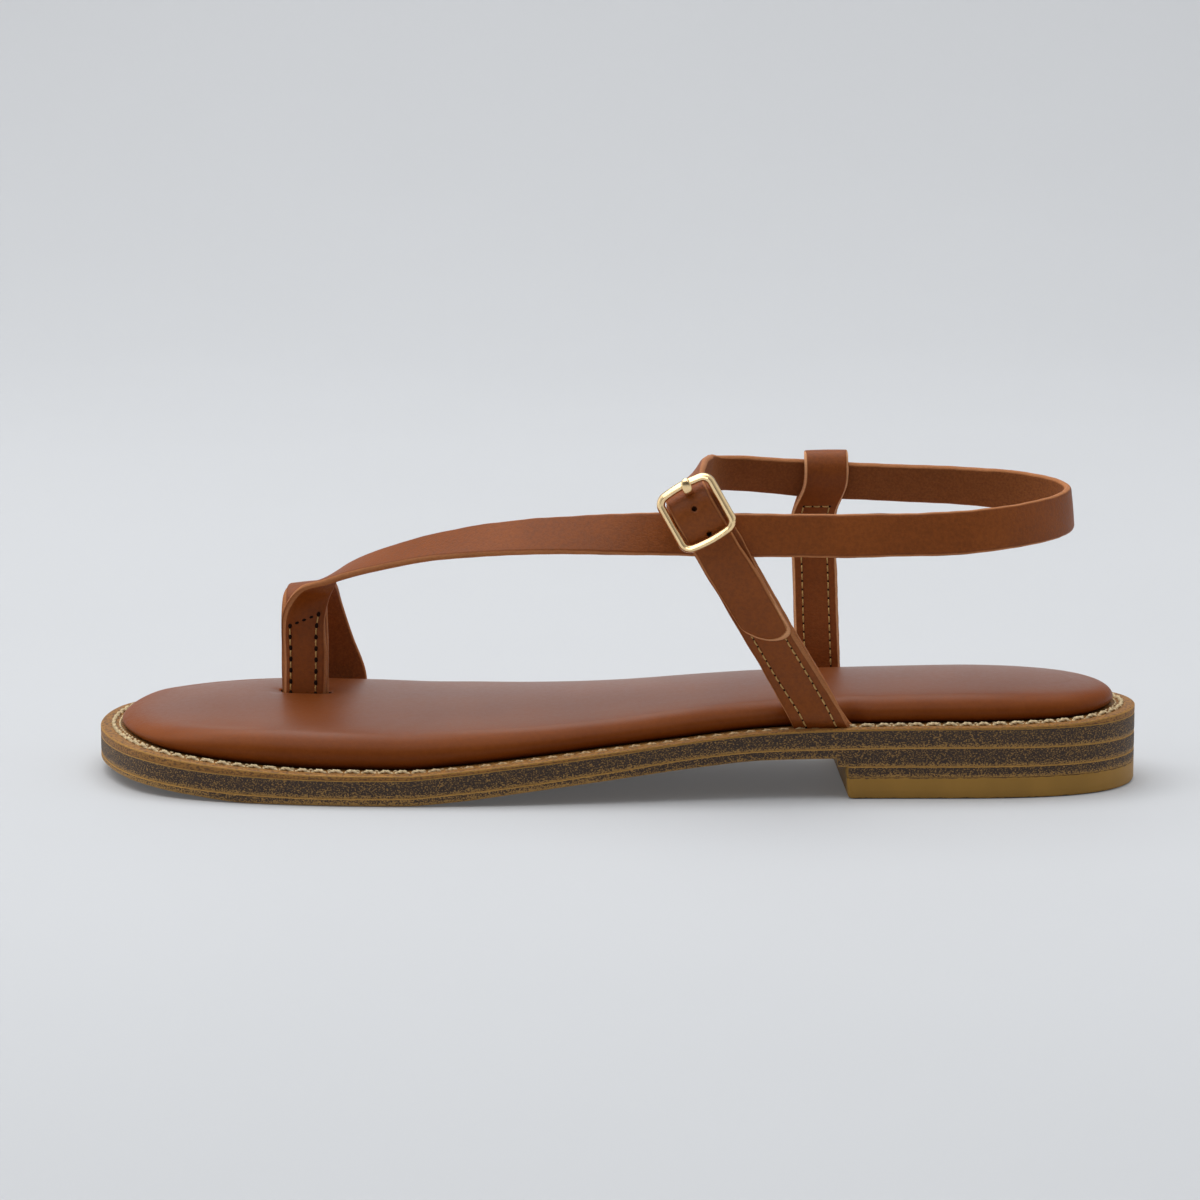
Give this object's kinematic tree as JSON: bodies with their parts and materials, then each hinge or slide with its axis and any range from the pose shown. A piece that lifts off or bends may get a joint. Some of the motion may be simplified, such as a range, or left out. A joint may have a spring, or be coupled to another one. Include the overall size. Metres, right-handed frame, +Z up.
{
  "type": "strappy flat sandal",
  "caption": "Left strappy flat sandal: layered sole with a low stacked heel, padded leather footbed, toe loop and a buckled ankle strap held by side posts.",
  "frame": {"origin": "on the floor, under the middle of the sandal's bounding box", "axes": "+X from toe to heel, +Y towards the medial (inner) side, +Z up"},
  "size_m": [0.25, 0.084, 0.0778],
  "materials": {
    "tan_rubber": "matt",
    "dark_sole_band": "speckled, matt",
    "brown_sole_edge": "matt",
    "footbed_leather": "smooth, soft sheen",
    "strap_leather": "smooth, soft sheen",
    "gold_metal": "polished, pale gold"
  },
  "bodies": {
    "root": {"heel_top_piece": "tan_rubber", "heel_lift": "dark_sole_band", "outsole": "dark_sole_band", "midsole": "dark_sole_band", "welt": "brown_sole_edge", "footbed": "footbed_leather", "upper": "strap_leather", "buckle_frame": "gold_metal", "buckle_prong": "gold_metal"}
  },
  "joints": []
}
